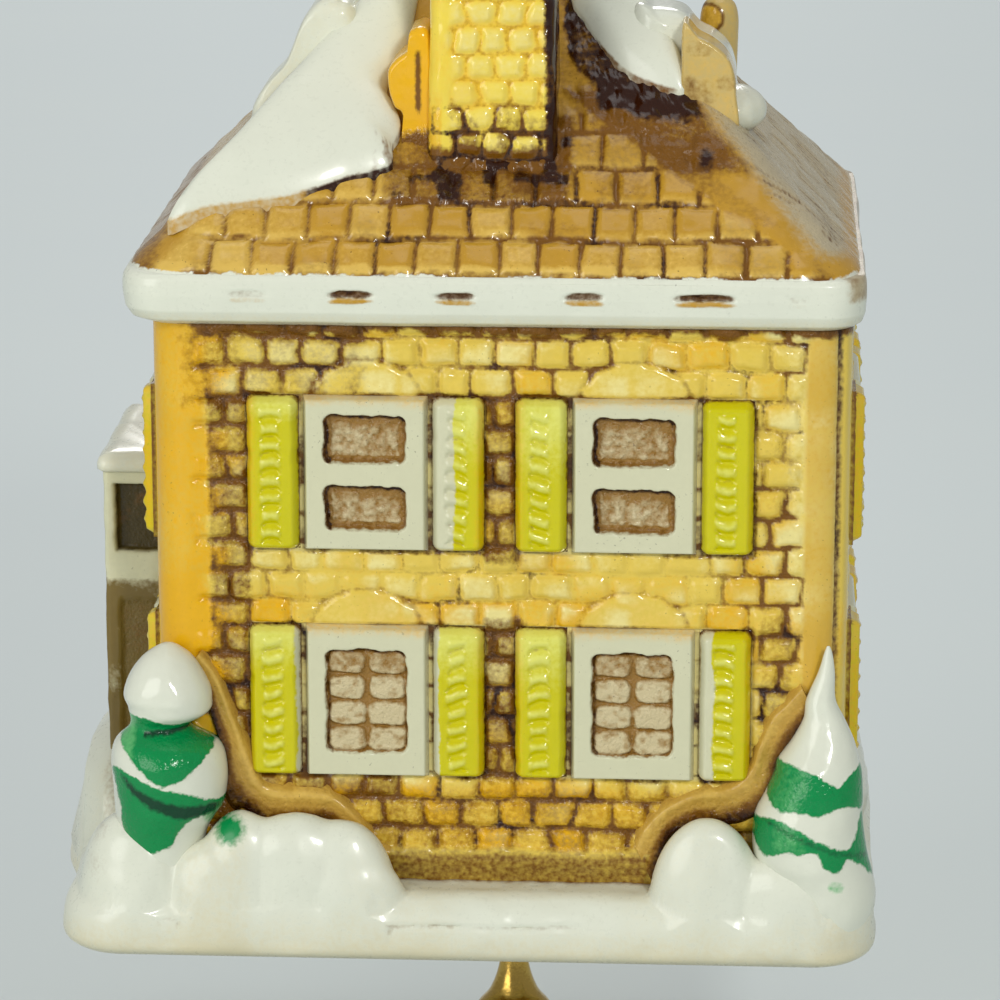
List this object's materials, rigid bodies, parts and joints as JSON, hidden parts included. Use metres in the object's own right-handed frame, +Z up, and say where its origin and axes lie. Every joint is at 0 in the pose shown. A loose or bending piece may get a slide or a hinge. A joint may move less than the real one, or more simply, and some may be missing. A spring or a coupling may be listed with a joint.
{
  "type": "house bell ornament",
  "caption": "Hollow glazed porcelain bell in the shape of a snow-covered brick house, hung by a brass eye, with a free-swinging brass clapper.",
  "frame": {"origin": "centre of the hanging eye above the ridge", "axes": "+Z up as it hangs, -Y out of the front with four windows, +X to the right seen from the front"},
  "size_m": [0.0624, 0.0508, 0.0948],
  "materials": {
    "snow_white": "glossy fired glaze over hand-painted colour",
    "trim_white": "glossy fired glaze over hand-painted colour",
    "brick_yellow": "glossy fired glaze over hand-painted colour",
    "tile_brown": "glossy fired glaze over hand-painted colour",
    "chimney_yellow": "glossy fired glaze over hand-painted colour",
    "chimney_orange": "glossy fired glaze over hand-painted colour",
    "dormer_tan": "glossy fired glaze over hand-painted colour",
    "shutter_green": "glossy fired glaze over hand-painted colour",
    "earth_brown": "glossy fired glaze over hand-painted colour",
    "fir_green": "glossy fired glaze over hand-painted colour",
    "bay_brown": "glossy fired glaze over hand-painted colour",
    "brass": "polished"
  },
  "bodies": {
    "house": {"back_lower_left_window": "trim_white", "back_lower_right_window": "trim_white", "back_upper_left_window": "trim_white", "back_upper_right_window": "trim_white", "bank_left": "earth_brown", "bank_right": "earth_brown", "bay_foot": "bay_brown", "bay_roof": "snow_white", "bay_windows": "trim_white", "chimney": "chimney_yellow", "chimney_cap": "snow_white", "chimney_shoulder": "chimney_orange", "dormer_left": "snow_white", "dormer_right": "dormer_tan", "dormer_snow": "snow_white", "eave_band": "snow_white", "front_lower_left_frame": "trim_white", "front_lower_left_shutter_left": "shutter_green", "front_lower_left_shutter_right": "shutter_green", "front_lower_right_frame": "trim_white", "front_lower_right_shutter_left": "shutter_green", "front_lower_right_shutter_right": "shutter_green", "front_upper_left_frame": "trim_white", "front_upper_left_shutter_left": "shutter_green", "front_upper_left_shutter_right": "shutter_green", "front_upper_right_frame": "trim_white", "front_upper_right_shutter_left": "shutter_green", "front_upper_right_shutter_right": "shutter_green", "hanger_wire": "brass", "house_walls": "brick_yellow", "left_lower_front_window": "trim_white", "left_lower_rear_window": "trim_white", "left_upper_front_window": "trim_white", "left_upper_rear_window": "trim_white", "rear_stack": "dormer_tan", "ridge_snow": "snow_white", "right_lower_front_window": "trim_white", "right_lower_rear_window": "trim_white", "right_upper_front_window": "trim_white", "right_upper_rear_window": "trim_white", "roof_shell": "tile_brown", "roof_snow_back": "snow_white", "roof_snow_left": "snow_white", "roof_snow_right": "snow_white", "snow_base": "snow_white", "tree_left": "fir_green", "tree_right": "fir_green"},
    "link": {"clapper_link": "brass"},
    "clapper": {"clapper": "brass"}
  },
  "joints": [
    {"name": "link_swing", "type": "hinge", "parent": "house", "child": "link", "pos_m": [0, 0, -0.01298], "axis": [1, 0, 0], "range_deg": [-13, 13]},
    {"name": "clapper_swing", "type": "hinge", "parent": "link", "child": "clapper", "pos_m": [0, 0, -0.01623], "axis": [0, 1, 0], "range_deg": [-18, 18]}
  ]
}
